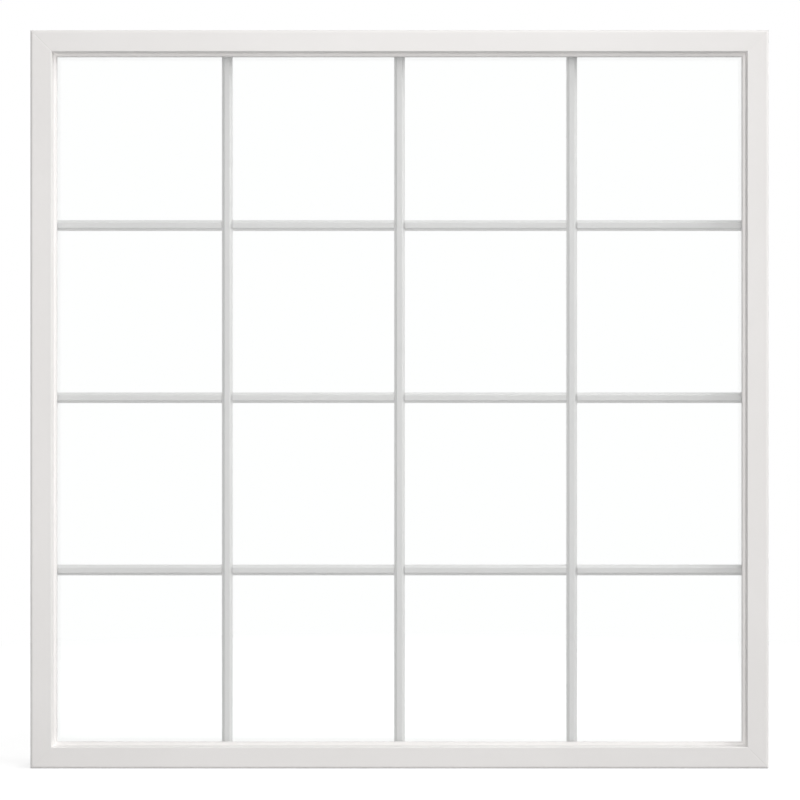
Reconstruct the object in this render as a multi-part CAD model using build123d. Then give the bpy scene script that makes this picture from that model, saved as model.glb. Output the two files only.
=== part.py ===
from build123d import *
import os
from math import sqrt

# A fixed picture window: a welded frame of hollow plastic profiles, a sealed double glass unit with a
# grille of contoured bars between its panes, and snap-in beads that hold the glass from the weather side.
#
# Lengths are in millimetres. X runs along the width and Z up, and the room side faces -Y. The origin is
# at the middle of the sill's underside. A cut across a frame profile is drawn with two measures: "inward"
# counts from the outer edge of the window towards the glass, and "back" from the room face to the weather side.

# Overall size
window_width = 1206.5
window_height = 1206.5

# Room side of the frame profile
face_width = 34.9
outer_edge_radius = 4.5
face_edge_radius = 1.0
reveal_depth = 12.5
reveal_draft = 1.9
step_width = 4.35
step_fall = 1.1
step_radius = 0.8
nose_depth = 4.8
nose_draft = 0.75

# Walls of the frame profile
wall = 2.0
web = 1.4

# Glass unit
pane_thickness = 3.0
air_gap = 13.0
glass_bite = 13.5
tape_thickness = 1.6
tape_margin = 0.8
spacer_height = 6.0
spacer_wall = 0.6
spacer_play = 0.3
seal_height = 3.5

# Setting blocks that carry the glass on the sill
block_thickness = 3.2
block_length = 100.0
block_from_corner = 300.0

# Weather side of the frame profile
rear_reveal_depth = 25.1
rear_fall = 2.5
rear_edge_radius = 1.5

# Snap-in bead, its soft gasket and the groove that takes its foot
gasket_thickness = 2.0
gasket_height = 6.5
bead_depth = 16.5
bead_below_sight_line = 3.7
bead_heel = 3.0
bead_nose_depth = 2.6
bead_nose_chamfer = 0.8
bead_wall = 1.3
bead_mitre_gap = 0.15
foot_setback = 3.0
groove_width = 3.4
groove_depth = 4.0
groove_undercut = 1.0
groove_lip = 1.8
foot_play = 0.3

# Groove round the outside of the frame that takes a fixing fin or a trim
fin_groove_mouth = 3.2
fin_groove_depth = 5.0
fin_groove_undercut = 1.2
fin_groove_lip = 2.0

# Shallow groove that is left where a welded corner is cleaned
weld_groove_width = 2.4
weld_groove_depth = 0.3

# Drain slots and their covers in the sill
weep_from_corner = 180.0
weep_length = 36.0
weep_height = 8.0
weep_play = 0.3
weep_cover_depth = 5.0
weep_cover_wall = 1.2
weep_lug_height = 0.8
weep_lug_depth = 1.2
weep_lug_length = 20.0
flap_thickness = 0.8
drain_length = 25.0
drain_width = 5.0

# Grille of bars in the air gap
bars_up = 3
bars_across = 3
grille_rise = 2.5
outer_lite_extra = 3.2
bar_width = 17.5
bar_thickness = 8.0
bar_crown = 8.2
bar_edge = 2.6
bar_cove = 0.4
bar_wall = 0.7
lap_play = 0.2
clip_plate = 1.2
clip_plug = 12.0
clip_play = 0.25

# How far a cutting shape runs past the surface that it opens
overcut = 1.0

# Places that follow from the sizes above, inward from the outer edge
reveal_foot = face_width + reveal_draft
step_end = reveal_foot + step_width
sight_line = step_end + nose_draft
glass_edge = sight_line - glass_bite
pocket_floor = glass_edge - block_thickness
spacer_outer = glass_edge + seal_height
spacer_inner = spacer_outer + spacer_height
rear_face_width = pocket_floor - rear_fall

# Places that follow from the sizes above, back from the room face
step_back = reveal_depth + step_fall
leg_back = step_back + nose_depth
glass_front = leg_back + tape_thickness
gap_front = glass_front + pane_thickness
gap_back = gap_front + air_gap
glass_back = gap_back + pane_thickness
bead_front = glass_back + gasket_thickness
bead_back = bead_front + bead_depth
bead_line = sight_line - bead_below_sight_line
frame_depth = bead_back + rear_reveal_depth
groove_front = bead_front + foot_setback
groove_back = groove_front + groove_width
groove_wall_front = groove_front - groove_undercut - wall
groove_wall_back = groove_back + wall
fin_groove_half = fin_groove_mouth / 2 + fin_groove_undercut
fin_groove_middle = groove_wall_back + wall + fin_groove_half
fin_chamber_back = fin_groove_middle + fin_groove_half + wall
bar_middle = (gap_front + gap_back) / 2 - frame_depth / 2

# The four sides, each with the middle of its outer edge and its length, clockwise as seen from the room
SIDES = {
    "head": ((0, 0, window_height), window_width),
    "right": ((window_width / 2, 0, window_height / 2), window_height),
    "sill": ((0, 0, 0), window_width),
    "left": ((-window_width / 2, 0, window_height / 2), window_height),
}


def place(part, side):
    """Turn a piece drawn for the head, with its outer edge at Z zero, onto one side of the window."""
    turn = 360 * list(SIDES).index(side) / len(SIDES)
    return Pos(*SIDES[side][0]) * Rot(0, turn, 0) * part


def outline(points):
    """A closed shape from (inward, back) points, drawn in the plane across a top member."""
    return Polygon(*[(back - frame_depth / 2, -inward) for inward, back in points], align=None)


def block(inward, back):
    """A rectangle across a member from its (from, to) measures inward and back."""
    return outline([(inward[0], back[0]), (inward[1], back[0]), (inward[1], back[1]), (inward[0], back[1])])


def rounded(shape, corners):
    """Round the corner nearest each (inward, back) point with its own radius."""
    for inward, back, radius in corners:
        nearest = shape.vertices().sort_by_distance((back - frame_depth / 2, -inward, 0))[0]
        shape = fillet(nearest, radius)
    return shape


def run(profile, length):
    """Carry a profile along X, the same length each way from the middle."""
    return extrude(Plane.YZ * profile, amount=length / 2, both=True)


def mitred(profile, length, pull_back=0.0):
    """Carry a profile along X and cut both ends at 45 degrees, each cut face pulled back by a clearance."""
    reach = sight_line + wall
    half = length / 2 - pull_back * sqrt(2)
    keep = Polygon(
        (-half - reach, reach), (half + reach, reach), (half - reach, -reach), (-half + reach, -reach), align=None
    )
    return run(profile, length + 2 * reach) & extrude(Plane.XZ * keep, amount=frame_depth, both=True)


def frame_profile():
    """Cut across the frame: face, reveal, step and nose towards the room, glass pocket, sloped weather side."""
    body = outline(
        [
            (0, 0),
            (face_width, 0),
            (reveal_foot, reveal_depth),
            (step_end, step_back),
            (sight_line, leg_back),
            (pocket_floor, leg_back),
            (pocket_floor, bead_back),
            (rear_face_width, frame_depth),
            (0, frame_depth),
        ]
    )
    body = rounded(
        body,
        [
            (0, 0, outer_edge_radius),
            (face_width, 0, face_edge_radius),
            (reveal_foot, reveal_depth, step_radius),
            (step_end, step_back, step_radius),
            (rear_face_width, frame_depth, rear_edge_radius),
            (0, frame_depth, rear_edge_radius),
        ],
    )
    body -= block((pocket_floor - groove_depth, pocket_floor + overcut), (groove_front, groove_back))
    body -= block(
        (pocket_floor - groove_depth, pocket_floor - groove_lip), (groove_front - groove_undercut, groove_back)
    )
    mouth = fin_groove_mouth / 2
    body -= block((-overcut, fin_groove_depth), (fin_groove_middle - mouth, fin_groove_middle + mouth))
    body -= block(
        (fin_groove_lip, fin_groove_depth),
        (fin_groove_middle - fin_groove_half, fin_groove_middle + fin_groove_half),
    )
    for chamber in frame_chambers():
        body -= chamber
    return body


def frame_chambers():
    """The closed hollows of the frame profile, with the walls and webs between them."""
    lean = reveal_draft / reveal_depth
    face_inside = face_width - wall * (1 - lean)
    half_way = (pocket_floor - wall) / 2
    rear_top = pocket_floor - wall
    rear_slope = rear_fall / rear_reveal_depth
    deep = (leg_back, groove_wall_front)
    face_chamber = block((wall, half_way - web / 2), (wall, leg_back - wall))
    yield rounded(face_chamber, [(wall, wall, outer_edge_radius - wall)])
    yield block((half_way + web / 2, pocket_floor - wall), (wall, leg_back - wall))
    yield outline(
        [
            (pocket_floor, wall),
            (face_inside, wall),
            (face_inside + lean * (reveal_depth - wall), reveal_depth),
            (face_inside + lean * (reveal_depth - wall), leg_back - wall),
            (pocket_floor, leg_back - wall),
        ]
    )
    yield block((wall, half_way - web / 2), deep)
    yield block((half_way + web / 2, rear_top), deep)
    yield block((wall, pocket_floor - groove_depth - wall), (groove_wall_front + web, groove_wall_back - web))
    yield block((fin_groove_depth + wall, rear_top), (groove_wall_back, fin_chamber_back))
    rear_start = fin_chamber_back + web
    yield outline(
        [
            (wall, rear_start),
            (rear_top - rear_slope * (rear_start - bead_back), rear_start),
            (rear_top - rear_slope * (frame_depth - wall - bead_back), frame_depth - wall),
            (wall, frame_depth - wall),
        ]
    )


def weld_groove(length, end, face):
    """A shallow V along one mitre: end is 1 or -1 along X, and face is -1 for the room side, 1 for the weather side."""
    start = (end * length / 2, face * frame_depth / 2, 0)
    along = (-end, 0, -1)
    across = (end * face * -1, 0, face)
    plane = Plane(origin=start, x_dir=across, z_dir=along)
    out = weld_groove_depth if plane.y_dir.Y * face > 0 else -weld_groove_depth
    cut = Polygon((-weld_groove_width, out), (weld_groove_width, out), (0, -out), align=None)
    return extrude(plane * cut, amount=sight_line * sqrt(2))


def frame_member(side):
    """One welded member of the frame, with the cleaned weld grooves across its two corners."""
    length = SIDES[side][1]
    member = mitred(frame_profile(), length)
    for end in (-1, 1):
        for face in (-1, 1):
            member -= weld_groove(length, end, face)
    if side == "sill":
        weep_offset = window_width / 2 - weep_from_corner
        for offset in (-weep_offset, weep_offset):
            member -= weep_cut(offset)
            member -= drain_cut(offset)
    return place(member, side)


def weep_height_span(shrink=0.0):
    """The weep slot's span up the weather face, centred on the rear chamber."""
    middle = rear_face_width / 2
    half = weep_height / 2 - shrink
    return (middle - half, middle + half)


def weep_cut(offset):
    """The slot through the sill's weather wall that takes a weep cover."""
    slot = block(weep_height_span(), (frame_depth - 2 * wall, frame_depth + overcut))
    return Pos(offset, 0, 0) * run(slot, weep_length)


def drain_cut(offset):
    """The slot through the floor of the glass pocket that lets water into the chamber below it."""
    back = glass_back - drain_width
    slot = block((pocket_floor - 1.5 * wall, pocket_floor + overcut), (back, glass_back))
    return Pos(offset, 0, 0) * run(slot, drain_length)


def weep_cover(offset):
    """A cover pressed into a weep slot: a short duct with a leaning flap, and lugs that catch behind the wall."""
    low, high = weep_height_span(weep_play)
    length = weep_length - 2 * weep_play
    front = frame_depth - weep_cover_depth
    duct = run(block((low, high), (front, frame_depth)), length)
    hollow = block((low + weep_cover_wall, high - weep_cover_wall), (front - overcut, frame_depth + overcut))
    duct -= run(hollow, length - 2 * weep_cover_wall)
    flap = outline(
        [
            (low + weep_cover_wall, frame_depth - flap_thickness),
            (low + weep_cover_wall, frame_depth),
            (high - weep_cover_wall - flap_thickness, front + 2 * flap_thickness),
            (high - weep_cover_wall - flap_thickness, front + flap_thickness),
        ]
    )
    duct += run(flap, length - 2 * weep_cover_wall)
    lug_back = frame_depth - wall - weep_play
    lug = (lug_back - weep_lug_depth, lug_back)
    duct += run(block((low - weep_lug_height, low), lug), weep_lug_length)
    duct += run(block((high, high + weep_lug_height), lug), weep_lug_length)
    return place(Pos(offset, 0, 0) * duct, "sill")


def bead_profile():
    """Cut across the snap-in bead: nose at the glass, sloped hollow body, and a hooked foot for the groove."""
    slope_start = bead_front + bead_nose_depth
    body = outline(
        [
            (pocket_floor, bead_front),
            (bead_line - bead_nose_chamfer, bead_front),
            (bead_line, bead_front + bead_nose_chamfer),
            (bead_line, slope_start),
            (pocket_floor + bead_heel, bead_back),
            (pocket_floor, bead_back),
        ]
    )
    fall = (bead_line - pocket_floor - bead_heel) / (bead_back - slope_start)
    inset = bead_wall * sqrt(1 + fall**2)
    inner_front = bead_front + bead_wall
    inner_floor = pocket_floor + bead_wall
    inner_top = min(bead_line - bead_wall, bead_line - inset - fall * (inner_front - slope_start))
    top_end = slope_start + (bead_line - inset - inner_top) / fall
    floor_end = min(bead_back - bead_wall, slope_start + (bead_line - inset - inner_floor) / fall)
    body -= outline(
        [
            (inner_floor, inner_front),
            (inner_top, inner_front),
            (inner_top, max(top_end, inner_front)),
            (inner_floor, floor_end),
        ]
    )
    foot_front = groove_front + foot_play
    foot_back = groove_back - foot_play
    foot_end = pocket_floor - groove_depth + foot_play
    body += block((foot_end, pocket_floor + bead_wall), (foot_front, foot_back))
    body += outline(
        [
            (foot_end, foot_front),
            (pocket_floor - groove_lip - foot_play, foot_front),
            (pocket_floor - groove_lip - foot_play, foot_front - groove_undercut),
            (foot_end + foot_play, foot_front - groove_undercut / 2),
        ]
    )
    return body


def gasket_profile():
    """The soft lip between bead and glass, wider on the glass."""
    tip = bead_line - bead_nose_chamfer
    return outline(
        [
            (tip - gasket_height, glass_back),
            (tip + bead_nose_chamfer / 2, glass_back),
            (tip, bead_front),
            (tip - gasket_height + bead_nose_chamfer, bead_front),
        ]
    )


def spacer_profile():
    """The hollow metal tube that keeps the panes apart."""
    front = gap_front + spacer_play
    back = gap_back - spacer_play
    tube = block((spacer_outer, spacer_inner), (front, back))
    return tube - block(
        (spacer_outer + spacer_wall, spacer_inner - spacer_wall), (front + spacer_wall, back - spacer_wall)
    )


def bar_profile():
    """Cut across a grille bar: a flat crown on each side, with coved shoulders down to a narrow edge."""
    edge = bar_width / 2
    crown = bar_crown / 2
    high = bar_thickness / 2
    low = bar_edge / 2
    run_out = edge - crown
    rise = high - low
    slant = sqrt(run_out**2 + rise**2)
    mid_x = (edge + crown) / 2 - bar_cove * rise / slant
    mid_y = (high + low) / 2 - bar_cove * run_out / slant
    upper = (
        Polyline((-edge, 0), (-edge, low))
        + ThreePointArc((-edge, low), (-mid_x, mid_y), (-crown, high))
        + Line((-crown, high), (crown, high))
        + ThreePointArc((crown, high), (mid_x, mid_y), (edge, low))
        + Polyline((edge, low), (edge, 0), (-edge, 0))
    )
    half = make_face(upper)
    return half + mirror(half, about=Plane.XZ)


def bar_places(count, across):
    """Centre lines of the bars that divide one direction, counted from the middle of the glass."""
    daylight = across - 2 * sight_line
    pitch = (daylight - 2 * outer_lite_extra + bar_width) / (count + 1)
    return [(number - (count - 1) / 2) * pitch for number in range(count)]


def bar(length, crossings, front_stays):
    """An upright bar with a half lap at each crossing, in its back half where the front stays whole."""
    profile = bar_profile()
    tube = profile - offset(profile, -bar_wall, kind=Kind.INTERSECTION)
    solid = extrude(tube, amount=length / 2, both=True)
    lap = bar_width + 2 * lap_play
    sign = 1 if front_stays else -1
    for place_along in crossings:
        notch = Box(2 * bar_width, bar_thickness, lap)
        solid -= Pos(0, sign * (bar_thickness / 2 - lap_play / 2), place_along) * notch
    return solid


def bar_length(across_glass):
    """Length of a bar: from clip plate to clip plate inside the spacers."""
    return across_glass - 2 * (spacer_inner + clip_plate + clip_play)


def place_bar(solid, upright, offset_from_middle):
    """Put an upright bar at its place in the air gap, or turn it level."""
    middle = window_height / 2
    if upright:
        return Pos(offset_from_middle, bar_middle, middle) * solid
    return Pos(0, bar_middle, middle + offset_from_middle) * Rot(0, 90, 0) * solid


def clip():
    """An end clip: a plate that stands on the spacer and a plug that fits inside the hollow bar."""
    profile = bar_profile()
    plate = extrude(profile, amount=clip_plate)
    plug = extrude(offset(profile, -bar_wall - clip_play, kind=Kind.INTERSECTION), amount=clip_plug)
    return plate + Pos(0, 0, clip_plate) * plug


def clips(side):
    """All end clips on the spacer of one side, as separate solids."""
    spots = columns if side in ("head", "sill") else rows
    hand = 1 if side in ("head", "left") else -1
    down = Rot(180, 0, 0) * clip()
    made = [Pos(hand * spot, bar_middle, -spacer_inner) * down for spot in spots]
    return Compound([place(one, side) for one in made])


def pane(front):
    """One glass pane, by how far its room face lies back from the face of the frame."""
    glass = Box(window_width - 2 * glass_edge, pane_thickness, window_height - 2 * glass_edge)
    return Pos(0, front + pane_thickness / 2 - frame_depth / 2, window_height / 2) * glass


def setting_block(offset_from_middle):
    """A block between the pocket floor and the glass edge on the sill."""
    profile = block((pocket_floor, glass_edge), (glass_front, glass_back))
    return place(Pos(offset_from_middle, 0, 0) * run(profile, block_length), "sill")


columns = bar_places(bars_up, window_width)
rows = [spot + grille_rise for spot in bar_places(bars_across, window_height)]
nodes = {}
for side in SIDES:
    length = SIDES[side][1]
    frame_name = f"frame_{side}" if side in ("head", "sill") else f"frame_jamb_{side}"
    tape = block((glass_edge + tape_margin, sight_line - tape_margin / 2), (leg_back, glass_front))
    seal = block((glass_edge + spacer_play, spacer_outer), (gap_front, gap_back))
    nodes[frame_name] = frame_member(side)
    nodes[f"glazing_bead_{side}"] = place(mitred(bead_profile(), length, bead_mitre_gap), side)
    nodes[f"bead_gasket_{side}"] = place(mitred(gasket_profile(), length), side)
    nodes[f"glazing_tape_{side}"] = place(mitred(tape, length), side)
    nodes[f"spacer_{side}"] = place(mitred(spacer_profile(), length), side)
    nodes[f"edge_seal_{side}"] = place(mitred(seal, length), side)
    nodes[f"grille_clips_{side}"] = clips(side)

nodes["pane_room_side"] = pane(glass_front)
nodes["pane_weather_side"] = pane(gap_back)

upright_bar = bar(bar_length(window_height), rows, front_stays=True)
level_bar = bar(bar_length(window_width), columns, front_stays=False)
for number, offset_x in enumerate(columns, start=1):
    nodes[f"grille_bar_upright_{number}"] = place_bar(upright_bar, True, offset_x)
for number, offset_z in enumerate(rows, start=1):
    nodes[f"grille_bar_level_{number}"] = place_bar(level_bar, False, offset_z)

for hand, sign in (("left", 1), ("right", -1)):
    nodes[f"setting_block_{hand}"] = setting_block(sign * (window_width / 2 - block_from_corner))
    nodes[f"weep_cover_{hand}"] = weep_cover(sign * (window_width / 2 - weep_from_corner))

os.makedirs("parts", exist_ok=True)
for name, shape in nodes.items():
    export_step(shape, f"parts/{name}.step")
print(f"frame depth {frame_depth:.2f} mm, sight line {sight_line:.2f} mm in, {len(nodes)} nodes")
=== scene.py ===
# %% [markdown]
# A picture window is a window that doesn't open: a white plastic frame, a sealed double glass unit, and a
# grille of thin bars between the two panes. The solids of every piece come ready made, at their real size.
# This lesson gives them their looks. The long profiles and the bars become smooth surfaces worked out with
# numpy, every piece gets a finish worked out by nodes, and a bright studio shows the window from the room
# side. All lengths are in metres, X runs to the right, Z up, and the room side faces -Y.

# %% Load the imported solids
import math

import bmesh
import bpy
import numpy as np
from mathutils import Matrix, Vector


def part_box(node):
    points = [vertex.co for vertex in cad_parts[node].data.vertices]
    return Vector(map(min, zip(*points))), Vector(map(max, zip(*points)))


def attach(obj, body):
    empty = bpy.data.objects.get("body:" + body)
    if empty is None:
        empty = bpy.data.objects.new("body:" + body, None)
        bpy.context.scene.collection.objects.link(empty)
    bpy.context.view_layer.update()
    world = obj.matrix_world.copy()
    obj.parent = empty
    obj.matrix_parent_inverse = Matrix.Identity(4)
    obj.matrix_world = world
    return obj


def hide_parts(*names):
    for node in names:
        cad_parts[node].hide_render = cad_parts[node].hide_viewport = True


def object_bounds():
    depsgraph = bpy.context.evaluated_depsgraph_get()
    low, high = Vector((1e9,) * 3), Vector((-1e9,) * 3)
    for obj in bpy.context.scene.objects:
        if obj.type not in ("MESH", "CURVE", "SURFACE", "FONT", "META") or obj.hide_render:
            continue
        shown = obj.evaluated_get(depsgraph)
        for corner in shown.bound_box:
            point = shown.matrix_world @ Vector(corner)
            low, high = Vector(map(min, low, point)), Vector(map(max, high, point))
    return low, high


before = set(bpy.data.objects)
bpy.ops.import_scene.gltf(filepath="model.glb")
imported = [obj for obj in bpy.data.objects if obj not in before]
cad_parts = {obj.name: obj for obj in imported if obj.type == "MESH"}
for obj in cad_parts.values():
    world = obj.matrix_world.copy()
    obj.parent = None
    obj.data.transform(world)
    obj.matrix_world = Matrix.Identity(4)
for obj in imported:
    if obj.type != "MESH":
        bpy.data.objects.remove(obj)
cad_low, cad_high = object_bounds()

MM = 0.001
window_width = cad_high.x - cad_low.x
window_height = cad_high.z - cad_low.z
frame_depth = cad_high.y - cad_low.y
room_face = cad_low.y
middle_height = (cad_low.z + cad_high.z) / 2

# %% [markdown]
# The window was seen square-on, with the camera level with the middle of the glass. A long lens far away
# keeps the four reveals nearly equal. The lens follows from the distance and from how wide the picture is
# at the room face: the window fills 739 of its 800 pixels, and its middle lies a hair above and left of the
# picture's.

# %% Camera
picture_pixels = 800
window_pixels = 739
middle_right_of_window = 0.5
middle_below_window = 0.7
camera_distance = 3.5
sensor_width = 36.0

metres_per_pixel = window_width / window_pixels
camera_data = bpy.data.cameras.new("camera")
camera_data.sensor_width = sensor_width
camera_data.lens = sensor_width * camera_distance / (picture_pixels * metres_per_pixel)
camera = bpy.data.objects.new("camera", camera_data)
camera.location = (
    middle_right_of_window * metres_per_pixel,
    room_face - camera_distance,
    middle_height - middle_below_window * metres_per_pixel,
)
camera.rotation_euler = (math.pi / 2, 0, 0)
bpy.context.scene.collection.objects.link(camera)
bpy.context.scene.camera = camera
print(f"lens {camera_data.lens:.1f} mm, one pixel is {metres_per_pixel / MM:.2f} mm of window")

# %% [markdown]
# Frame, beads, gaskets, tapes, spacers and seals are all made in the same way on the real window: a long
# bar of one cross-section, cut at 45 degrees at both ends. Boxes with bevels would lose the small steps of
# the reveal, so each cross-section is drawn once as a closed loop and carried along the four sides. A point
# of a loop is given by two measures: "inward" counts from the outer edge of the window towards the glass,
# and "back" counts from the room face to the weather side. Most of them are read from the solids, so
# nothing can drift apart.


# %% Measures read from the solids
def inward_span(node):
    """How far in from the top edge a head piece starts and ends."""
    low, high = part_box(node)
    return cad_high.z - high.z, cad_high.z - low.z


def back_span(node):
    """How far back from the room face a piece starts and ends."""
    low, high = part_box(node)
    return low.y - room_face, high.y - room_face


sight_line = inward_span("frame_head")[1]
nose_back = back_span("glazing_tape_head")[0]
glass_back = back_span("pane_weather_side")[1]
bead_front, bead_back = back_span("glazing_bead_head")
bead_line = inward_span("glazing_bead_head")[1]
pocket_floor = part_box("setting_block_left")[0].z - cad_low.z
print(f"sight line {sight_line / MM:.2f} mm in, pocket floor {pocket_floor / MM:.2f} mm in")

# %% [markdown]
# No real edge is perfectly sharp, and the light on a small round is what makes an edge readable. The next
# function rounds every corner of a loop by its own radius. It also adds one point just past each round, on
# the flat: smooth shading blends normals from point to point, and these points keep that blend off the
# flats.

# %% Rounded loops
arc_points = 6
hold = 0.15 * MM


def rounded_loop(corners):
    """A closed loop through (inward, back, radius) corners, running from inward towards back.

    The centre of each arc lies on the line that halves its corner, radius / sin(half the angle) away, and the
    arc's points swing evenly from one tangent point to the other.
    """
    corners = np.array(corners, dtype=float)
    point, radius = corners[:, :2], corners[:, 2:]
    before = np.roll(point, 1, axis=0) - point
    after = np.roll(point, -1, axis=0) - point
    before /= np.linalg.norm(before, axis=1, keepdims=True)
    after /= np.linalg.norm(after, axis=1, keepdims=True)
    half_angle = np.arccos(np.clip((before * after).sum(axis=1, keepdims=True), -1, 1)) / 2
    reach = radius / np.tan(half_angle)
    halving = (before + after) / np.linalg.norm(before + after, axis=1, keepdims=True)
    centre = point + halving * radius / np.sin(half_angle)
    first, last = point + before * reach - centre, point + after * reach - centre
    swing = (math.pi - 2 * half_angle)[:, None]
    share = np.linspace(0, 1, arc_points)[None, :, None]
    arcs = np.sin((1 - share) * swing) * first[:, None] + np.sin(share * swing) * last[:, None]
    arcs = centre[:, None] + arcs / np.sin(swing)
    held = [(point + before * (reach + hold))[:, None], arcs, (point + after * (reach + hold))[:, None]]
    loop = np.concatenate(held, axis=1).reshape(-1, 2)
    following = np.roll(loop, -1, axis=0)
    area = (loop[:, 0] * following[:, 1] - loop[:, 1] * following[:, 0]).sum()
    return loop if area > 0 else loop[::-1]


def outward_normals(loop):
    """The unit vector square to the loop at each of its points, pointing out of it."""
    along = np.roll(loop, -1, axis=0) - np.roll(loop, 1, axis=0)
    along /= np.linalg.norm(along, axis=1, keepdims=True)
    return np.stack([along[:, 1], -along[:, 0]], axis=1)


print(f"{arc_points} points to a round")

# %% [markdown]
# A station is a place along a side where the loop stands. Near a corner of the window the loop has to lean
# with the 45 degree cut, and further in, where a slot is cut, it stands square. Both are one formula: the
# place along the side is share times (half the side less inward), plus an offset. A share of 1 or -1 leans
# with the right or left cut, and a share of 0 stands square.

# %% Carry a loop along one side
SIDES = ("head", "right", "sill", "left")
backwards = np.array([0.0, 1.0, 0.0])


def carry(loop, side, stations, cut_back=0.0):
    """The loop at every station of a side, as (points, places): an array of stations by loop points.

    Point = middle of the window + outward * (reach - inward) + along * place + backwards * back, where the
    outward and along directions turn by a quarter from side to side. cut_back shortens both ends.
    """
    quarter = SIDES.index(side) * math.pi / 2
    outward = np.array([math.sin(quarter), 0.0, math.cos(quarter)])
    along = np.array([math.cos(quarter), 0.0, -math.sin(quarter)])
    reach, half = window_height / 2, window_width / 2
    if side in ("left", "right"):
        reach, half = half, reach
    share, offset = np.array(stations, dtype=float).T
    inward, back = loop[..., 0], loop[..., 1]
    place = share[:, None] * (half - cut_back - inward) + offset[:, None]
    inward, back = np.broadcast_to(inward, place.shape), np.broadcast_to(back, place.shape)
    points = (reach - inward)[..., None] * outward + place[..., None] * along
    points = points + (room_face + back)[..., None] * backwards + np.array([0.0, 0.0, middle_height])
    return points, place


end_to_end = [(-1, 0), (1, 0)]
print("sides:", ", ".join(SIDES))

# %% [markdown]
# The grid of points becomes a mesh: four neighbours make one face, the last column joins the first, and a
# flat cap closes each end. Each face corner also gets a UV: metres along the piece, and metres round the
# loop. Die lines and scratches will follow these, whichever way the piece runs. Cells can be left out where
# a slot is cut.


# %% From a grid of points to a piece
def grid_mesh(name, points, along, keep=None, capped=True, fields=None):
    """A tube from an array of stations by loop points, with UVs in metres and optional per-point fields."""
    rows, columns = points.shape[:2]
    corner = np.arange(rows * columns).reshape(rows, columns)
    beside = np.roll(corner, -1, axis=1)
    faces = np.stack([corner[:-1], beside[:-1], beside[1:], corner[1:]], axis=-1)
    step = np.linalg.norm(np.roll(points[0], -1, axis=0) - points[0], axis=1)
    end_round = np.cumsum(step)
    start_round = end_round - step
    next_along = np.roll(along, -1, axis=1)
    across_uv = np.stack([start_round, end_round, end_round, start_round], axis=-1)
    across_uv = np.broadcast_to(across_uv, faces.shape)
    along_uv = np.stack([along[:-1], next_along[:-1], next_along[1:], along[1:]], axis=-1)
    uv = np.stack([along_uv, across_uv], axis=-1)
    if keep is None:
        keep = np.ones(faces.shape[:2], dtype=bool)
    faces, uv = faces[keep].tolist(), uv[keep].reshape(-1, 2)
    if capped:
        faces += [corner[0][::-1].tolist(), corner[-1].tolist()]
        uv = np.concatenate([uv, np.zeros((2 * columns, 2))])
    mesh = bpy.data.meshes.new(name)
    mesh.from_pydata(points.reshape(-1, 3).tolist(), [], faces)
    layer = mesh.uv_layers.new(name="along_and_round")
    layer.data.foreach_set("uv", uv.astype(np.float32).ravel())
    for title, values in (fields or {}).items():
        field = mesh.attributes.new(title, "FLOAT", "POINT")
        field.data.foreach_set("value", values.astype(np.float32).ravel())
    return mesh


crease = math.radians(32)


def dress(mesh, finish, *nodes):
    """Make a piece of a mesh, give it its finish, and let it stand for its solids."""
    mesh.materials.append(finish)
    mesh.shade_smooth()
    mesh.set_sharp_from_angle(angle=crease)
    piece = bpy.data.objects.new(mesh.name, mesh)
    bpy.context.scene.collection.objects.link(piece)
    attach(piece, "root")
    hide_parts(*nodes)
    return piece


print("grid helpers ready")

# %% [markdown]
# Finishes come next, so that each piece can take its own when it is made. A helper makes a material with
# its main shader, and another adds a node and links or sets its inputs in one go, which keeps each recipe
# short.


# %% Helpers for finishes
def new_material(name):
    """An empty node material whose Principled shader feeds the output."""
    material = bpy.data.materials.new(name)
    material.use_nodes = True
    tree = material.node_tree
    tree.nodes.clear()
    output = tree.nodes.new("ShaderNodeOutputMaterial")
    shader = tree.nodes.new("ShaderNodeBsdfPrincipled")
    tree.links.new(shader.outputs["BSDF"], output.inputs["Surface"])
    return material, tree, shader


def feed(tree, socket, value):
    """Link an output to a socket, or set the socket to a plain value."""
    if isinstance(value, bpy.types.NodeSocket):
        tree.links.new(value, socket)
    else:
        socket.default_value = value


def add_node(tree, kind, inputs=None, **settings):
    """A node with its settings made and its inputs fed; an input is named or numbered."""
    node = tree.nodes.new(kind)
    for name, value in settings.items():
        setattr(node, name, value)
    for name, value in (inputs or {}).items():
        feed(tree, node.inputs[name], value)
    return node


def math_node(tree, operation, first, second=0.0):
    """The result of one sum, product or the like."""
    return add_node(tree, "ShaderNodeMath", {0: first, 1: second}, operation=operation).outputs[0]


def blend_colour(tree, share, first, second):
    """The colour that runs from the first to the second as share goes from 0 to 1."""
    mix = add_node(tree, "ShaderNodeMix", {"Factor": share, 6: first, 7: second}, data_type="RGBA")
    return mix.outputs[2]


def spread(tree, value, low, high, to_low=0.0, to_high=1.0):
    """A value stretched from one span to another, and kept inside it."""
    inputs = {"Value": value, "From Min": low, "From Max": high, "To Min": to_low, "To Max": to_high}
    return add_node(tree, "ShaderNodeMapRange", inputs).outputs["Result"]


def new_group(name, inputs, outputs):
    """A shader node group with named sockets, with its inner input and output nodes."""
    group = bpy.data.node_groups.new(name, "ShaderNodeTree")
    for title, kind, value in inputs:
        socket = group.interface.new_socket(name=title, in_out="INPUT", socket_type=kind)
        if value is not None:
            socket.default_value = value
    for title, kind in outputs:
        group.interface.new_socket(name=title, in_out="OUTPUT", socket_type=kind)
    return group, group.nodes.new("NodeGroupInput"), group.nodes.new("NodeGroupOutput")


print("finish helpers ready")

# %% [markdown]
# Extruded plastic and rolled metal are never quite even. Tone swells slowly along a length, the die draws
# hair lines along the piece, and the skin has a fine grain. One group makes all three from a coordinate
# whose first axis runs along the piece: slow noise for the tone, noise squeezed across and stretched along
# for the lines, and quick noise for the grain. Each finish then decides how much of them it takes.

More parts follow.
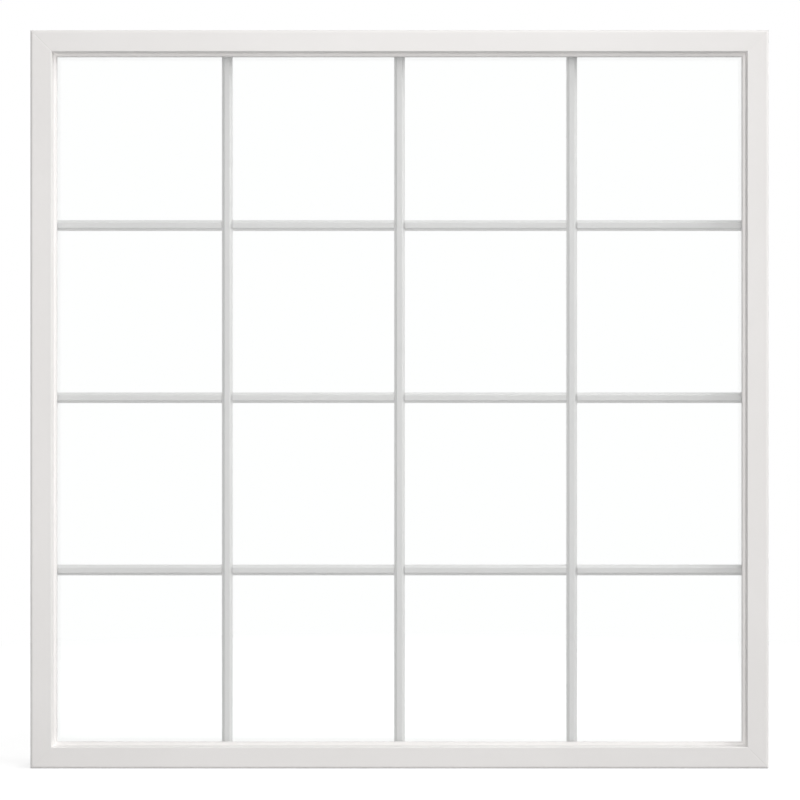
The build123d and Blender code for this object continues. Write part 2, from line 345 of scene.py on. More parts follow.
# %% Group: drawn surface
line_stretch = (3.0, 1400.0, 1400.0)
tone_scale = 5.0
grain_scale = 1500.0
noise_low, noise_high = 0.3, 0.7


def make_drawn_group():
    """Tone is slow noise, Lines is noise stretched along the first axis, Grain is fine noise; all 0 to 1.

    Noise mostly keeps between noise_low and noise_high, so that span is stretched to 0 and 1.
    """
    group, enter, leave = new_group(
        "drawn_surface",
        [("Vector", "NodeSocketVector", None)],
        [("Tone", "NodeSocketFloat"), ("Lines", "NodeSocketFloat"), ("Grain", "NodeSocketFloat")],
    )
    where = enter.outputs["Vector"]
    stretched = add_node(group, "ShaderNodeVectorMath", {0: where, 1: line_stretch}, operation="MULTIPLY")
    made = {
        "Tone": {"Vector": where, "Scale": tone_scale, "Detail": 3.0},
        "Lines": {"Vector": stretched.outputs[0], "Scale": 1.0, "Detail": 2.0},
        "Grain": {"Vector": where, "Scale": grain_scale, "Detail": 2.0},
    }
    for title, inputs in made.items():
        noise = add_node(group, "ShaderNodeTexNoise", inputs)
        full = spread(group, noise.outputs["Fac"], noise_low, noise_high)
        group.links.new(full, leave.inputs[title])
    return group


drawn_group = make_drawn_group()
print("group", drawn_group.name)

# %% [markdown]
# The frame is white plastic with a satin skin, a little warm. At the four corners the profiles are melted
# together, and the squeezed-out bead is milled off the faces, which leaves a shallow groove with a duller,
# slightly greyer skin. The mesh carries a field named "weld" that says where that is.

# %% Finish: frame plastic
plastic_pale = (0.872, 0.852, 0.838, 1.0)
plastic_shade = (0.850, 0.829, 0.814, 1.0)
weld_shade = (0.842, 0.822, 0.808, 1.0)
bead_pale = (0.880, 0.862, 0.850, 1.0)
bead_shade = (0.862, 0.844, 0.832, 1.0)
satin_low, satin_high = 0.34, 0.46
weld_dulling = 0.2
least_milled = 0.5
skin_strength = 0.15
skin_relief = 0.02 * MM


def make_profile_plastic(name, pale, shade):
    """Satin white plastic: tone from slow noise, roughness from lines and grain, duller on milled welds."""
    material, tree, shader = new_material(name)
    uv = add_node(tree, "ShaderNodeUVMap", uv_map="along_and_round").outputs["UV"]
    drawn = add_node(tree, "ShaderNodeGroup", {}, node_tree=drawn_group)
    feed(tree, drawn.inputs["Vector"], uv)
    weld = add_node(tree, "ShaderNodeAttribute", attribute_name="weld").outputs["Fac"]
    colour = blend_colour(tree, drawn.outputs["Tone"], shade, pale)
    speckle = spread(tree, drawn.outputs["Grain"], 0.0, 1.0, least_milled, 1.0)
    milled = math_node(tree, "MULTIPLY", weld, speckle)
    colour = blend_colour(tree, milled, colour, weld_shade)
    skin = math_node(tree, "ADD", drawn.outputs["Lines"], drawn.outputs["Grain"])
    satin = spread(tree, skin, 0.0, 2.0, satin_low, satin_high)
    rough = math_node(tree, "ADD", satin, math_node(tree, "MULTIPLY", weld, weld_dulling))
    relief = {"Height": skin, "Strength": skin_strength, "Distance": skin_relief}
    bump = add_node(tree, "ShaderNodeBump", relief)
    feed(tree, shader.inputs["Base Color"], colour)
    feed(tree, shader.inputs["Roughness"], rough)
    feed(tree, shader.inputs["Normal"], bump.outputs["Normal"])
    return material


frame_plastic = make_profile_plastic("frame_plastic", plastic_pale, plastic_shade)
bead_plastic = make_profile_plastic("bead_plastic", bead_pale, bead_shade)
print("finishes", frame_plastic.name, bead_plastic.name)

# %% [markdown]
# Small soft and dark pieces share one recipe: two close tones mixed by noise, with a little relief from the
# same noise. Object coordinates place it, because these pieces have no direction that shows. The table
# gives for each finish its pale tone, its darker tone, its roughness, the scale of its noise and its
# relief.


# %% Finishes: gasket, tape, sealant, clips, blocks, covers
rough_swing = 0.07


def make_small_finish(name, pale, shade, rough, scale, relief):
    """Two tones, a roughness that follows them, and relief, all from one noise on Object coordinates."""
    material, tree, shader = new_material(name)
    where = add_node(tree, "ShaderNodeTexCoord").outputs["Object"]
    noise = add_node(tree, "ShaderNodeTexNoise", {"Vector": where, "Scale": scale, "Detail": 4.0})
    grain = spread(tree, noise.outputs["Fac"], noise_low, noise_high)
    bump = add_node(tree, "ShaderNodeBump", {"Height": grain, "Strength": 0.5, "Distance": relief})
    feed(tree, shader.inputs["Base Color"], blend_colour(tree, grain, (*shade, 1.0), (*pale, 1.0)))
    roughness = spread(tree, grain, 0.0, 1.0, rough - rough_swing, rough + rough_swing)
    feed(tree, shader.inputs["Roughness"], roughness)
    feed(tree, shader.inputs["Normal"], bump.outputs["Normal"])
    return material


small_recipes = {
    "soft_gasket": ((0.78, 0.78, 0.77), (0.72, 0.72, 0.71), 0.6, 700.0, 0.05 * MM),
    "foam_tape": ((0.74, 0.74, 0.73), (0.62, 0.62, 0.61), 0.85, 1500.0, 0.2 * MM),
    "edge_sealant": ((0.05, 0.05, 0.05), (0.03, 0.03, 0.03), 0.5, 200.0, 0.4 * MM),
    "clip_plastic": ((0.8, 0.8, 0.79), (0.76, 0.76, 0.75), 0.45, 900.0, 0.03 * MM),
    "block_rubber": ((0.05, 0.05, 0.05), (0.035, 0.035, 0.035), 0.7, 500.0, 0.1 * MM),
    "cover_plastic": ((0.85, 0.835, 0.82), (0.82, 0.805, 0.79), 0.4, 900.0, 0.03 * MM),
}
small_finish = {name: make_small_finish(name, *recipe) for name, recipe in small_recipes.items()}
print(f"{len(small_finish)} small finishes")

# %% [markdown]
# The spacer between the panes is a thin metal tube, filled with drying beads. The side that faces the gap
# has a row of pinholes on each side of its seam, so that the beads can take up damp. The holes are too
# small to cut: each is a dip with a dark spot of painted shade for the dark inside of the hole, placed by
# how far a point lies from the nearest hole in a row.

# %% Finish: spacer metal
hole_pitch = 2.4 * MM
hole_radius = 0.35 * MM
hole_row_offset = 1.3 * MM
hole_edge = 0.15
# Painted shade: the near-black colour stands in for the dark inside of each pinhole.
hole_painted_shade = (0.02, 0.02, 0.02, 1.0)
metal_pale = (0.72, 0.72, 0.73, 1.0)
metal_shade = (0.62, 0.62, 0.63, 1.0)
metal_rough_low, metal_rough_high = 0.24, 0.36
line_height = 0.1
hole_relief = 0.2 * MM


def make_spacer_metal():
    """Brushed metal with pinholes.

    Distance to a hole = length of (place along within one pitch, distance from a row of holes).
    """
    material, tree, shader = new_material("spacer_metal")
    uv = add_node(tree, "ShaderNodeUVMap", uv_map="along_and_round").outputs["UV"]
    drawn = add_node(tree, "ShaderNodeGroup", {}, node_tree=drawn_group)
    feed(tree, drawn.inputs["Vector"], uv)
    place = add_node(tree, "ShaderNodeSeparateXYZ", {"Vector": uv})
    back = add_node(tree, "ShaderNodeAttribute", attribute_name="off_seam").outputs["Fac"]
    facing = add_node(tree, "ShaderNodeAttribute", attribute_name="faces_gap").outputs["Fac"]
    along = math_node(tree, "PINGPONG", place.outputs["X"], hole_pitch / 2)
    across = math_node(tree, "SUBTRACT", math_node(tree, "ABSOLUTE", back), hole_row_offset)
    along_squared = math_node(tree, "POWER", along, 2.0)
    across_squared = math_node(tree, "POWER", across, 2.0)
    apart = math_node(tree, "SQRT", math_node(tree, "ADD", along_squared, across_squared))
    hole = spread(tree, apart, hole_radius * (1 + hole_edge), hole_radius * (1 - hole_edge))
    hole = math_node(tree, "MULTIPLY", hole, facing)
    lines = drawn.outputs["Lines"]
    metal = blend_colour(tree, drawn.outputs["Tone"], metal_shade, metal_pale)
    height = math_node(tree, "SUBTRACT", math_node(tree, "MULTIPLY", lines, line_height), hole)
    bump = add_node(tree, "ShaderNodeBump", {"Height": height, "Strength": 0.6, "Distance": hole_relief})
    rough = spread(tree, lines, 0.0, 1.0, metal_rough_low, metal_rough_high)
    # Painted shade: the pinholes take the near-black colour.
    feed(tree, shader.inputs["Base Color"], blend_colour(tree, hole, metal, hole_painted_shade))
    feed(tree, shader.inputs["Roughness"], rough)
    feed(tree, shader.inputs["Normal"], bump.outputs["Normal"])
    shader.inputs["Metallic"].default_value = 1.0
    return material


spacer_metal = make_spacer_metal()
print("finish", spacer_metal.name)

# %% [markdown]
# The bars are thin aluminium, rolled to a contour and coated white. The coat is smoother and cooler than
# the frame's plastic. Its colour is painted a little greyer, as painted shade for the dimming behind the
# glass. Rolling leaves long soft lines.

# %% Finish: bar coat
# Both coat tones are painted a little greyer than the coat itself: painted shade for the dimming behind the
# glass.
coat_pale_glass_shaded = (0.840, 0.828, 0.826, 1.0)
coat_dark_glass_shaded = (0.815, 0.803, 0.801, 1.0)
coat_rough_low, coat_rough_high = 0.3, 0.4
rolling_strength = 0.1
rolling_relief = 0.02 * MM


def make_bar_coat():
    """Coated metal: tone from slow noise and lines, low relief from the rolling lines."""
    material, tree, shader = new_material("bar_coat")
    uv = add_node(tree, "ShaderNodeUVMap", uv_map="along_and_round").outputs["UV"]
    drawn = add_node(tree, "ShaderNodeGroup", {}, node_tree=drawn_group)
    feed(tree, drawn.inputs["Vector"], uv)
    lines = drawn.outputs["Lines"]
    share = math_node(tree, "MULTIPLY", drawn.outputs["Tone"], lines)
    relief = {"Height": lines, "Strength": rolling_strength, "Distance": rolling_relief}
    bump = add_node(tree, "ShaderNodeBump", relief)
    rough = spread(tree, drawn.outputs["Grain"], 0.0, 1.0, coat_rough_low, coat_rough_high)
    feed(tree, shader.inputs["Base Color"], blend_colour(tree, share, coat_dark_glass_shaded, coat_pale_glass_shaded))
    feed(tree, shader.inputs["Roughness"], rough)
    feed(tree, shader.inputs["Normal"], bump.outputs["Normal"])
    return material


bar_coat = make_bar_coat()
print("finish", bar_coat.name)

# %% [markdown]
# Window glass is clear, with the faintest green. A glass shader bends and mirrors light as it should, but
# treats glass as a solid that lamps can't shine through. So shadow rays, which look for the lamps, and
# diffuse rays, which gather the soft light, meet a plain transparent shader instead.

# %% Finish: clear glass
glass_tint = (0.996, 1.0, 0.998, 1.0)
glass_lets_through = (0.907, 0.914, 0.911, 1.0)


def make_clear_glass():
    """Glass to the eye and to reflections, a thin tinted film to the light that falls on what is behind."""
    material, tree, shader = new_material("clear_glass")
    shader.inputs["Base Color"].default_value = glass_tint
    shader.inputs["Roughness"].default_value = 0.0
    shader.inputs["IOR"].default_value = 1.5
    shader.inputs["Transmission Weight"].default_value = 1.0
    path = add_node(tree, "ShaderNodeLightPath")
    film = add_node(tree, "ShaderNodeBsdfTransparent", {"Color": glass_lets_through}).outputs["BSDF"]
    surface = shader.outputs["BSDF"]
    for ray in ("Is Shadow Ray", "Is Diffuse Ray"):
        mix = add_node(tree, "ShaderNodeMixShader", {"Fac": path.outputs[ray], 1: surface, 2: film})
        surface = mix.outputs["Shader"]
    output = next(node for node in tree.nodes if node.type == "OUTPUT_MATERIAL")
    tree.links.new(surface, output.inputs["Surface"])
    return material


clear_glass = make_clear_glass()
print("finish", clear_glass.name)

# %% [markdown]
# The frame's cross-section has a flat face, a reveal that leans in a little, a ledge and a short nose at
# the glass. Behind the nose lies the pocket for the glass and the beads, then the sloped weather side. The
# groove round the outside takes a fixing fin, and the groove in the pocket takes the foot of a bead.

# %% Cross-section of the frame
face_width = 34.9 * MM
outer_edge_radius = 4.5 * MM
face_edge_radius = 1.0 * MM
reveal_depth = 12.5 * MM
reveal_lean = 1.9 * MM
ledge_width = 4.35 * MM
ledge_fall = 1.1 * MM
ledge_radius = 0.8 * MM
weather_fall = 2.5 * MM
weather_edge_radius = 1.5 * MM
small_radius = 0.2 * MM

bead_groove_offset = 3.0 * MM
bead_groove_width = 3.4 * MM
bead_groove_depth = 4.0 * MM
bead_lip_depth = 1.8 * MM
bead_groove_undercut = 1.0 * MM
fin_groove_middle = 54.2 * MM
fin_groove_mouth = 3.2 * MM
fin_groove_width = 5.6 * MM
fin_groove_depth = 5.0 * MM
fin_groove_lip = 2.0 * MM

bead_groove_front = bead_front + bead_groove_offset
bead_groove_back = bead_groove_front + bead_groove_width
bead_groove_floor = pocket_floor - bead_groove_depth
bead_groove_lip = pocket_floor - bead_lip_depth
reveal_foot = face_width + reveal_lean
ledge_back = reveal_depth + ledge_fall
fin_mouth = fin_groove_middle + fin_groove_mouth / 2 * np.array([-1, 1])
fin_inside = fin_groove_middle + fin_groove_width / 2 * np.array([-1, 1])

frame_loop = rounded_loop(
    [
        (0, 0, outer_edge_radius),
        (face_width, 0, face_edge_radius),
        (reveal_foot, reveal_depth, ledge_radius),
        (reveal_foot + ledge_width, ledge_back, ledge_radius),
        (sight_line, nose_back, small_radius),
        (pocket_floor, nose_back, small_radius),
        (pocket_floor, bead_groove_front, small_radius),
        (bead_groove_lip, bead_groove_front, small_radius),
        (bead_groove_lip, bead_groove_front - bead_groove_undercut, small_radius),
        (bead_groove_floor, bead_groove_front - bead_groove_undercut, small_radius),
        (bead_groove_floor, bead_groove_back, small_radius),
        (pocket_floor, bead_groove_back, small_radius),
        (pocket_floor, bead_back, small_radius),
        (pocket_floor - weather_fall, frame_depth, weather_edge_radius),
        (0, frame_depth, weather_edge_radius),
        (0, fin_mouth[1], small_radius),
        (fin_groove_lip, fin_mouth[1], small_radius),
        (fin_groove_lip, fin_inside[1], small_radius),
        (fin_groove_depth, fin_inside[1], small_radius),
        (fin_groove_depth, fin_inside[0], small_radius),
        (fin_groove_lip, fin_inside[0], small_radius),
        (fin_groove_lip, fin_mouth[0], small_radius),
        (0, fin_mouth[0], small_radius),
    ]
)
frame_normals = outward_normals(frame_loop)
print(f"{len(frame_loop)} points round the frame's cross-section")

# %% [markdown]
# Where two profiles are welded, the faces show a shallow milled groove, and the inside corner of the reveal
# keeps a thin ridge that the mill can't reach. Both follow from one number, the distance to the 45 degree
# cut: the surface is moved along its normal by a bump-shaped function of it, down on the faces and up in
# the reveal.

# %% Relief of the welded corners
weld_groove_depth = 0.18 * MM
weld_groove_half = 1.7 * MM
weld_ridge_height = 0.35 * MM
weld_ridge_half = 1.0 * MM
weld_steps = np.array([0, 0.2, 0.4, 0.6, 0.8, 1.0, 1.2, 1.45, 1.7, 2.0, 4.0]) * MM
face_zone = 1.0 * MM
reveal_margin = 0.5 * MM
reveal_start = 1.5 * MM
weather_margin = 2.0 * MM
mostly = 0.5
milled_spread = 1.3


def swell(distance, half_width):
    """A smooth bump: 1 at no distance, 0 from half_width on, half a cosine wave between."""
    return 0.5 + 0.5 * np.cos(math.pi * np.clip(distance / half_width, 0, 1))


def weld_relief(distance):
    """The frame's loop at each distance from a cut, and how much of each point is milled, 0 to 1."""
    inward, back = frame_loop.T
    on_face = np.abs(frame_normals[:, 1]) * ((back < face_zone) | (back > frame_depth - face_zone))
    in_reveal = (back > reveal_start) & (back < nose_back - reveal_margin)
    in_reveal = in_reveal & (inward > face_width + reveal_margin)
    behind_beads = (back > bead_back + face_zone) & (back < frame_depth - weather_margin)
    behind_beads = behind_beads & (frame_normals[:, 0] > mostly)
    ridge = (in_reveal | behind_beads) * weld_ridge_height
    rise = swell(distance[:, None], weld_ridge_half) * ridge
    fall = swell(distance[:, None], weld_groove_half) * on_face * weld_groove_depth
    loops = frame_loop + frame_normals * (rise - fall)[..., None]
    milled = swell(distance[:, None], weld_groove_half * milled_spread) * on_face
    return loops, milled


print(f"weld groove {weld_groove_depth / MM:.1f} mm deep, ridge {weld_ridge_height / MM:.2f} mm high")

# %% [markdown]
# The sill has two drain slots in its weather face. Its loop gets square stations at the ends of each slot,
# and a point at the slot's lower and upper edge, so that one cell of the grid is exactly the slot. That
# cell is left out, and a pocket is sunk behind it: a rectangle carried inwards in rings, wider behind the
# wall, where the lugs of the cover catch.

# %% Slots of the sill
cover_low, cover_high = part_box("weep_cover_left")
slot_play = 0.3 * MM
slot_height = 8.0 * MM
frame_wall = 2.0 * MM
lug_room = 1.2 * MM
pocket_depth = 7.0 * MM
tiny = 0.01 * MM
slot_half = (cover_high.x - cover_low.x) / 2 + slot_play
slot_middle = abs(cover_high.x + cover_low.x) / 2
slot_level = (cover_low.z + cover_high.z) / 2 - cad_low.z
slot_edges = slot_level + slot_height / 2 * np.array([1, -1])
on_weather_face = np.abs(frame_loop[:, 1] - frame_depth) < tiny
past_corner = on_weather_face & (frame_loop[:, 0] < slot_edges[1])
slot_column = int(np.argmax(past_corner))
slot_points = np.stack([slot_edges, np.full(2, frame_depth)], axis=1)
frame_loop = np.insert(frame_loop, [slot_column] * 2, slot_points, axis=0)
frame_normals = outward_normals(frame_loop)


def slot_pocket(middle):
    """Four rings of four corners, each at its own depth: mouth, back of the wall, wider chamber, floor."""
    wider = lug_room * np.array([0, 0, 1, 1])
    depth = np.array([0, frame_wall, frame_wall, pocket_depth])
    corners = np.array([(-1, -1), (-1, 1), (1, 1), (1, -1)])
    rings = np.empty((4, 4, 3))
    rings[..., 0] = middle + corners[:, 0] * (slot_half + wider)[:, None]
    rings[..., 1] = cad_high.y - depth[:, None]
    rings[..., 2] = cad_low.z + slot_level + corners[:, 1] * (slot_height / 2 + wider)[:, None]
    return rings


print(f"slots {2 * slot_half / MM:.1f} mm long, {slot_middle / MM:.1f} mm either side of the middle")

# %% [markdown]
# Now the four members. Every one takes the same stations near its two cuts, at the distances where the
# weld's relief changes, and nothing between, because a straight run needs no more. The sill takes its slots
# as well.

# %% Frame members
merge_distance = 0.001 * MM


def add_pockets(mesh):
    """Sink a pocket behind each slot, and join its mouth to the edge of the slot."""
    work = bmesh.new()
    work.from_mesh(mesh)
    for middle in (-slot_middle, slot_middle):
        rings = [[work.verts.new(corner) for corner in ring] for ring in slot_pocket(middle)]
        for outer, inner in zip(rings, rings[1:]):
            for here in range(4):
                there = (here + 1) % 4
                work.faces.new((outer[here], outer[there], inner[there], inner[here]))
        work.faces.new(rings[-1])
    bmesh.ops.remove_doubles(work, verts=work.verts, dist=merge_distance)
    work.to_mesh(mesh)
    work.free()


def frame_member(side, node):
    """One welded member: the frame's loop with its weld relief, carried from cut to cut."""
    ends = [(-1, step) for step in weld_steps]
    ends_after = [(1, -step) for step in weld_steps[::-1]]
    slots = []
    if side == "sill":
        slots = [(0, sign * slot_middle + end * slot_half) for sign in (-1, 1) for end in (-1, 1)]
    stations = ends + slots + ends_after
    distance = np.array([abs(offset) if share else np.inf for share, offset in stations])
    loops, milled = weld_relief(distance)
    points, place = carry(loops, side, stations)
    keep = np.ones((len(stations) - 1, len(frame_loop)), dtype=bool)
    if slots:
        keep[[len(ends), len(ends) + 2], slot_column] = False
    mesh = grid_mesh(f"{node}_profile", points, place, keep=keep, fields={"weld": milled})
    if slots:
        add_pockets(mesh)
    return dress(mesh, frame_plastic, node)


members = ("frame_head", "frame_jamb_right", "frame_sill", "frame_jamb_left")
for side, node in zip(SIDES, members):
    member = frame_member(side, node)
    print(f"{member.name}: {len(member.data.polygons)} faces")

# %% [markdown]
# On the weather side each pane edge is held by a snap-in bead: a nose at the glass, a slope that sheds
# water, and a foot with a hook that clicks into the groove of the frame. A soft lip between bead and glass
# makes the joint tight. On the room side a foam tape lies between the nose of the frame and the glass.

# %% Beads, lips and tapes
bead_nose_chamfer = 0.8 * MM
bead_nose_depth = 2.6 * MM
bead_heel = 3.0 * MM
bead_round = 0.35 * MM
bead_cut_back = 0.15 * MM
foot_play = 0.3 * MM
lip_tip = bead_line - bead_nose_chamfer
lip_start = inward_span("bead_gasket_head")[0]
tape_start, tape_end = inward_span("glazing_tape_head")
tape_back = back_span("glazing_tape_head")[1]
foot_front, foot_back = bead_groove_front + foot_play, bead_groove_back - foot_play
foot_end = bead_groove_floor + foot_play
hook_start = bead_groove_lip - foot_play

bead_loop = rounded_loop(
    [
        (pocket_floor, bead_front, small_radius),
        (bead_line - bead_nose_chamfer, bead_front, bead_round),
        (bead_line, bead_front + bead_nose_chamfer, bead_round),
        (bead_line, bead_front + bead_nose_depth, bead_round),
        (pocket_floor + bead_heel, bead_back, bead_round),
        (pocket_floor, bead_back, small_radius),
        (pocket_floor, foot_back, small_radius),
        (foot_end, foot_back, small_radius),
        (foot_end, foot_front - bead_groove_undercut / 2, small_radius / 2),
        (hook_start, foot_front - bead_groove_undercut, small_radius / 2),
        (hook_start, foot_front, small_radius / 2),
        (pocket_floor, foot_front, small_radius),
    ]
)
lip_loop = rounded_loop(
    [
        (lip_start, glass_back, small_radius),
        (lip_tip + bead_nose_chamfer / 2, glass_back, small_radius),
        (lip_tip, bead_front, small_radius),
        (lip_start + bead_nose_chamfer, bead_front, small_radius),
    ]
)
tape_loop = rounded_loop(
    [
        (tape_start, nose_back, small_radius),
        (tape_end, nose_back, small_radius),
        (tape_end, tape_back, small_radius),
        (tape_start, tape_back, small_radius),
    ]
)
for side in SIDES:
    for start, loop, finish, cut_back in (
        ("glazing_bead", bead_loop, bead_plastic, bead_cut_back * math.sqrt(2)),
        ("bead_gasket", lip_loop, small_finish["soft_gasket"], 0.0),
        ("glazing_tape", tape_loop, small_finish["foam_tape"], 0.0),
    ):
        node = f"{start}_{side}"
        points, place = carry(loop, side, end_to_end, cut_back)
        dress(grid_mesh(f"{node}_profile", points, place), finish, node)
print("beads, lips and tapes on four sides")

# %% [markdown]
# The spacer is carried round in the same way. It also gets two fields for its pinholes: how far a point
# lies from the seam in the middle of the tube, and whether the point is on the side that faces the gap.

# %% Spacers
spacer_outer, spacer_inner = inward_span("spacer_head")
spacer_front, spacer_back = back_span("spacer_head")
spacer_round = 0.6 * MM
spacer_loop = rounded_loop(
    [
        (spacer_outer, spacer_front, spacer_round),
        (spacer_inner, spacer_front, spacer_round),
        (spacer_inner, spacer_back, spacer_round),
        (spacer_outer, spacer_back, spacer_round),
    ]
)
off_seam = spacer_loop[:, 1] - (spacer_front + spacer_back) / 2
faces_gap = (spacer_loop[:, 0] > spacer_inner - tiny).astype(float)
for side in SIDES:
    node = f"spacer_{side}"
    points, place = carry(spacer_loop, side, end_to_end)
    fields = {"off_seam": np.stack([off_seam] * 2), "faces_gap": np.stack([faces_gap] * 2)}
    dress(grid_mesh(f"{node}_profile", points, place, fields=fields), spacer_metal, node)
print(f"spacer {(spacer_back - spacer_front) / MM:.1f} mm wide")

# %% [markdown]
# A grille bar is a flat tube with a raised crown on both sides: thin strip, rolled to a contour. The height
# of its surface is a function of how far a point lies from the middle: full height on the crown, then a
# hollow curve down to the low edge. Where two bars cross, each loses half of its tube. The upright keeps
# its front and the level bar its back. So the shell is a grid with some cells left out, and a Solidify
# modifier gives it the thickness of the strip, which makes the open ends at a crossing real.

# %% Cross-section of a bar
first_bar_low, first_bar_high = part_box("grille_bar_upright_1")
bar_half_width = (first_bar_high.x - first_bar_low.x) / 2
bar_half_thickness = (first_bar_high.y - first_bar_low.y) / 2
bar_middle_y = (first_bar_high.y + first_bar_low.y) / 2
crown_half = 4.1 * MM
edge_half = 1.3 * MM
cove_sag = 0.45 * MM
bar_wall = 0.7 * MM
lap_play = 0.2 * MM
cove_points = 14
crown_round = 0.25 * MM

fall = np.linspace(0, 1, cove_points)
cove_across = crown_half + (bar_half_width - crown_half) * fall
cove_height = bar_half_thickness - (bar_half_thickness - edge_half) * fall - 4 * cove_sag * fall * (1 - fall)
crown_across = np.array([0.0, 0.5, 1.0]) * (crown_half - crown_round)
quarter = np.stack(
    [
        np.concatenate([crown_across, cove_across, [bar_half_width]]),
        np.concatenate([np.full(3, bar_half_thickness), cove_height, [lap_play / 2]]),
    ],
    axis=1,
)
back_half = np.concatenate([quarter[::-1], quarter[1:] * [-1, 1]])
front_half = (back_half * [1, -1])[::-1]
bar_loop = np.concatenate([back_half, front_half])
in_front = np.arange(len(bar_loop)) >= len(back_half)
print(f"{len(bar_loop)} points round a bar, {2 * bar_half_width / MM:.1f} mm wide")

# %% Grille bars


def bar_box(node):
    """The middle of a bar in x and z, and half its length."""
    low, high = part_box(node)
    return (low.x + high.x) / 2, (low.z + high.z) / 2, max(high.x - low.x, high.z - low.z) / 2


def grille_bar(node, upright, crossings):
    """A bar as a thin shell, with half of its tube left out at every bar that it crosses."""
    middle_x, middle_z, half = bar_box(node)
    along = np.array([0.0, 0.0, 1.0]) if upright else np.array([1.0, 0.0, 0.0])
    across = np.cross(backwards, along)
    origin = np.array([middle_x, bar_middle_y, middle_z])
    start = middle_z if upright else middle_x
    lap_half = bar_half_width + lap_play
    edges = sorted(place - start + side * lap_half for place in crossings for side in (-1, 1))
    stations = np.array([-half, *edges, half])
    points = origin + stations[:, None, None] * along
    sideways, rearward = bar_loop.T[:, None, :, None]
    points = points + sideways * across + rearward * backwards
    place = np.repeat(stations[:, None], len(bar_loop), axis=1)
    keep = np.ones((len(stations) - 1, len(bar_loop)), dtype=bool)
    left_out = ~in_front if upright else in_front
    keep[1::2, :] = ~left_out
    return grid_mesh(f"{node}_shell", points, place, keep=keep, capped=False)


def thicken(mesh, node):
    """Give a shell the thickness of the strip, inwards, and read the result back as a plain mesh."""
    maker = bpy.data.objects.new("shell", mesh)
    bpy.context.scene.collection.objects.link(maker)
    strip = maker.modifiers.new("strip", "SOLIDIFY")
    strip.thickness = bar_wall
    strip.offset = -1
    strip.use_even_offset = True
    seen = maker.evaluated_get(bpy.context.evaluated_depsgraph_get())
    made = bpy.data.meshes.new_from_object(seen)
    bpy.data.objects.remove(maker)
    made.name = f"{node}_tube"
    return made


bar_numbers = (1, 2, 3)
rows = [bar_box(f"grille_bar_level_{number}")[1] for number in bar_numbers]
columns = [bar_box(f"grille_bar_upright_{number}")[0] for number in bar_numbers]
for number in bar_numbers:
    for kind, crossings in (("upright", rows), ("level", columns)):
        node = f"grille_bar_{kind}_{number}"
        shell = grille_bar(node, kind == "upright", crossings)
        dress(thicken(shell, node), bar_coat, node)
print("six bars, nine crossings")

# %% [markdown]
# The panes, clips, sealant, blocks and drain covers have the right shape as solids, so they stay and only
# take a finish. The panes are plain slabs of glass.

# %% Finishes for the solids that stay
finish_of = {
    "pane": clear_glass,
    "grille_clips": small_finish["clip_plastic"],
    "edge_seal": small_finish["edge_sealant"],
    "setting_block": small_finish["block_rubber"],
    "weep_cover": small_finish["cover_plastic"],
}
for name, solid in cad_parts.items():
    for start, finish in finish_of.items():
        if name.startswith(start):
            solid.data.materials.clear()
            solid.data.materials.append(finish)
print("finished:", ", ".join(finish_of))

# %% [markdown]
# The floor is plain and pale. A white background must come from its colour and not from more light on the
# window, so for the camera the floor glows almost to white and adds a little of the light that falls on it.
# That little keeps the soft shadow at the foot of the window. Away from the window it fades out and the
# glow rises to full white, so that neither the floor's far edge nor the pools of light under the lamps
# show, also not as mirror images in the panes. Light Path tells the two uses apart: a ray from the camera,
# from a mirror image or through the glass sees the glowing floor, and all others see the plain one.

# %% Floor
floor_half = 9.0
glow_near = 0.78
glow_far = 1.0
white_from = 2.0
floor_shown = 0.32
floor_colour = 0.42


def grey(tone):
    """An even grey with full opacity, from 0 for black to 1 for white."""
    return (tone, tone, tone, 1.0)


def seen_by_eye(tree):
    """1 for rays from the camera, mirrored rays and rays that came through glass, else 0."""
    path = add_node(tree, "ShaderNodeLightPath")
    direct = math_node(tree, "MAXIMUM", path.outputs["Is Camera Ray"], path.outputs["Is Glossy Ray"])
    return math_node(tree, "MAXIMUM", direct, path.outputs["Is Transmission Ray"])


def make_floor_finish():
    """A pale matt floor that shows itself to the eye as nearly white, with its shadow."""
    material = bpy.data.materials.new("studio_floor")
    material.use_nodes = True
    tree = material.node_tree
    tree.nodes.clear()
    matt = add_node(tree, "ShaderNodeBsdfDiffuse", {"Color": grey(floor_colour)})
    where = add_node(tree, "ShaderNodeTexCoord").outputs["Object"]
    away = add_node(tree, "ShaderNodeVectorMath", {0: where}, operation="LENGTH").outputs["Value"]
    fading = spread(tree, away, white_from / 3, white_from)
    tone = blend_colour(tree, fading, grey(floor_shown), grey(0.0))
    shown = add_node(tree, "ShaderNodeBsdfDiffuse", {"Color": tone})
    strength = spread(tree, fading, 0.0, 1.0, glow_near, glow_far)
    glow = add_node(tree, "ShaderNodeEmission", {"Strength": strength})
    to_eye = add_node(tree, "ShaderNodeAddShader", {0: shown.outputs["BSDF"], 1: glow.outputs["Emission"]})
    choose = {"Fac": seen_by_eye(tree), 1: matt.outputs["BSDF"], 2: to_eye.outputs["Shader"]}
    mixed = add_node(tree, "ShaderNodeMixShader", choose)
    add_node(tree, "ShaderNodeOutputMaterial", {"Surface": mixed.outputs["Shader"]})
    return material


floor_mesh = bpy.data.meshes.new("floor")
spread_x = np.array([-1, 1, 1, -1]) * floor_half
spread_y = np.array([-1, -1, 1, 1]) * floor_half
floor_points = np.stack([spread_x, spread_y, np.full(4, cad_low.z)], axis=1)
floor_mesh.from_pydata(floor_points.tolist(), [], [(0, 1, 2, 3)])
floor_mesh.materials.append(make_floor_finish())
floor = bpy.data.objects.new("floor", floor_mesh)
bpy.context.scene.collection.objects.link(floor)
print(f"floor {2 * floor_half:.0f} m square")

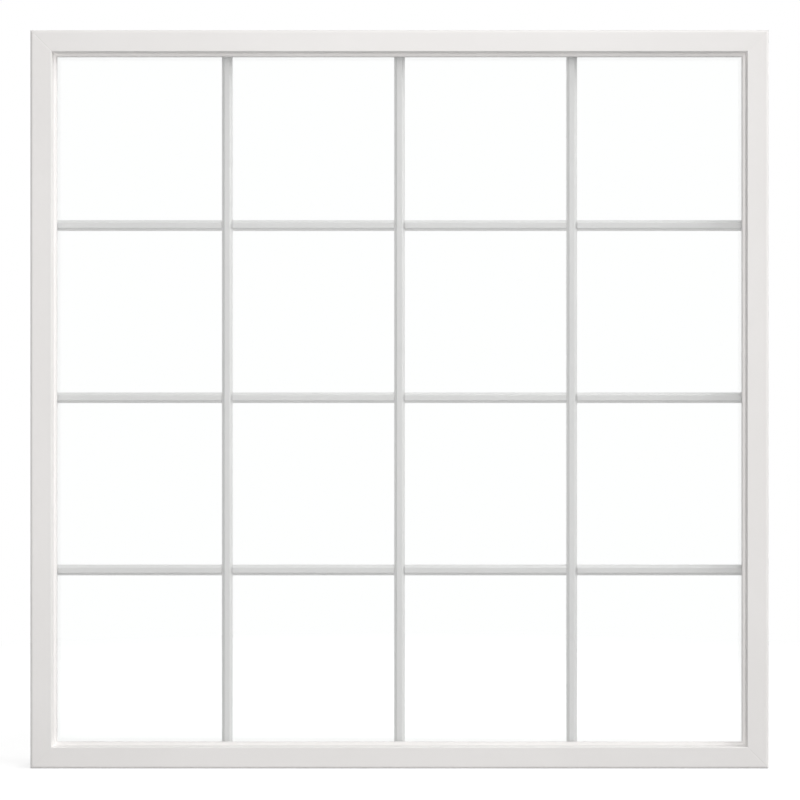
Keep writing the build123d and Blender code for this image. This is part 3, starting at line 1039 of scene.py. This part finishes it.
# %% [markdown]
# The light tells the reveals apart. The key lamp stands far off to the right and rather low, only a little
# in front of the window: it grazes the faces, makes the left reveal bright, and leaves the upper and right
# ones in shade. One high above does the same for the lower reveal. A low lamp in front lights the faces and
# the ledges. A near one, higher up, makes the head a little brighter than the rest, and stands far enough
# in front that the head's shade on the bars stays short. One behind lights the weather side. The low lamp
# in front and the one behind are kept out of mirror images and out of the view through the glass, or else
# the panes would show them as pale squares.

# %% Lamps
key_power = 419.0
high_power = 203.0
front_power = 21.3
head_power = 10.8
back_power = 200.0


def soft_lamp(name, direction, distance, size, power, in_glass=True):
    """A square area lamp, aimed at the middle of the window from one direction."""
    data = bpy.data.lights.new(name, "AREA")
    data.size = size
    data.energy = power
    lamp = bpy.data.objects.new(name, data)
    towards = Vector(direction).normalized()
    lamp.location = Vector((0, 0, middle_height)) + towards * distance
    lamp.rotation_euler = towards.to_track_quat("Z", "Y").to_euler()
    lamp.visible_camera = False
    lamp.visible_glossy = in_glass
    lamp.visible_transmission = in_glass
    bpy.context.scene.collection.objects.link(lamp)


soft_lamp("key_lamp", (0.80, -0.25, 0.40), distance=10.0, size=3.0, power=key_power)
soft_lamp("high_lamp", (0.25, -0.25, 0.93), distance=10.0, size=3.0, power=high_power)
soft_lamp("front_lamp", (-0.1, -1.0, -0.15), distance=2.2, size=1.0, power=front_power, in_glass=False)
soft_lamp("head_lamp", (0.1, -0.75, 0.65), distance=2.4, size=1.2, power=head_power)
soft_lamp("back_lamp", (0.3, 0.9, 0.4), distance=6.0, size=3.0, power=back_power, in_glass=False)
print("five lamps")

# %% [markdown]
# The world fills the rest evenly. It looks white to the eye, but lights the window much less than that, so
# that white plastic keeps its tone. The view transform stays plain, and a colour comes out about as it was
# written.

# %% World
ambient = 0.24
seen_white = 1.0

world = bpy.data.worlds.new("studio")
bpy.context.scene.world = world
world.use_nodes = True
sky = world.node_tree
sky.nodes.clear()
fill = add_node(sky, "ShaderNodeBackground", {"Color": grey(1.0), "Strength": ambient})
white = add_node(sky, "ShaderNodeBackground", {"Color": grey(1.0), "Strength": seen_white})
choose = {"Fac": seen_by_eye(sky), 1: fill.outputs["Background"], 2: white.outputs["Background"]}
mixed = add_node(sky, "ShaderNodeMixShader", choose)
add_node(sky, "ShaderNodeOutputWorld", {"Surface": mixed.outputs["Shader"]})
bpy.context.scene.view_settings.view_transform = "Standard"
print(f"world at {ambient}, white to the eye")
